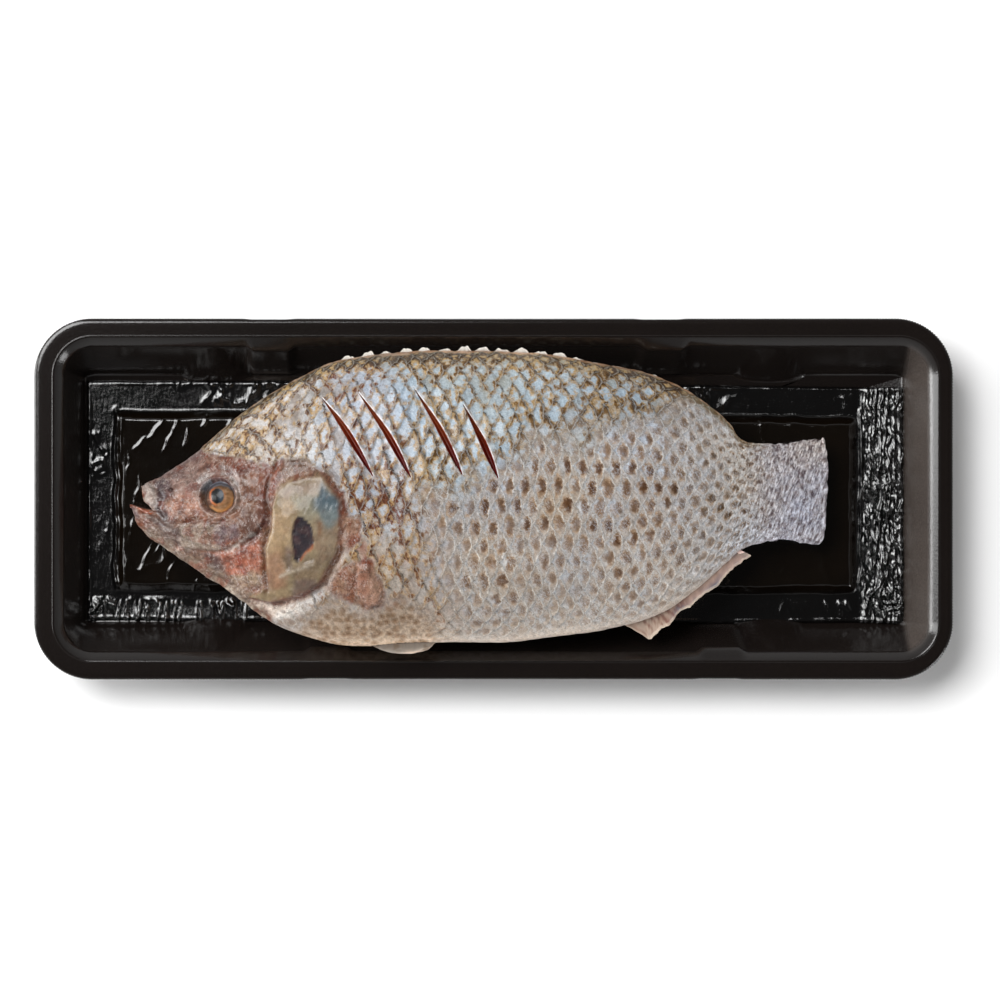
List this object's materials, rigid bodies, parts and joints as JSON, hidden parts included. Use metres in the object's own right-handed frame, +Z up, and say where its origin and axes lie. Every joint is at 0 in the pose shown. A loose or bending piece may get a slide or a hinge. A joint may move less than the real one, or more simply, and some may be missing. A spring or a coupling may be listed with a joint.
{
  "type": "whole scored fish on a foam tray",
  "caption": "Raw whole scored tilapia with trimmed fins, lying on its side on an absorbent pad in a shallow black foam tray.",
  "frame": {"origin": "middle of the tray's flat underside", "axes": "+X along the tray towards the tail, +Y across the tray towards the back of the fish, +Z up"},
  "size_m": [0.375, 0.1474, 0.0595],
  "materials": {
    "tray_foam": "fine pebbled black foam with a soft sheen",
    "pad_film": "crinkled glossy black film round a dark brown core",
    "fish_skin": "wet scaled skin, grey-white with brown scale spots, pink and cream on the head",
    "fish_flesh": "wet dark red flesh inside the scores",
    "fish_eye": "wet golden brown iris round a near-black pupil"
  },
  "bodies": {
    "root": {"tray": "tray_foam", "absorbent_pad": "pad_film", "tilapia": "fish_skin", "eye_left": "fish_eye", "eye_right": "fish_eye"}
  },
  "joints": []
}
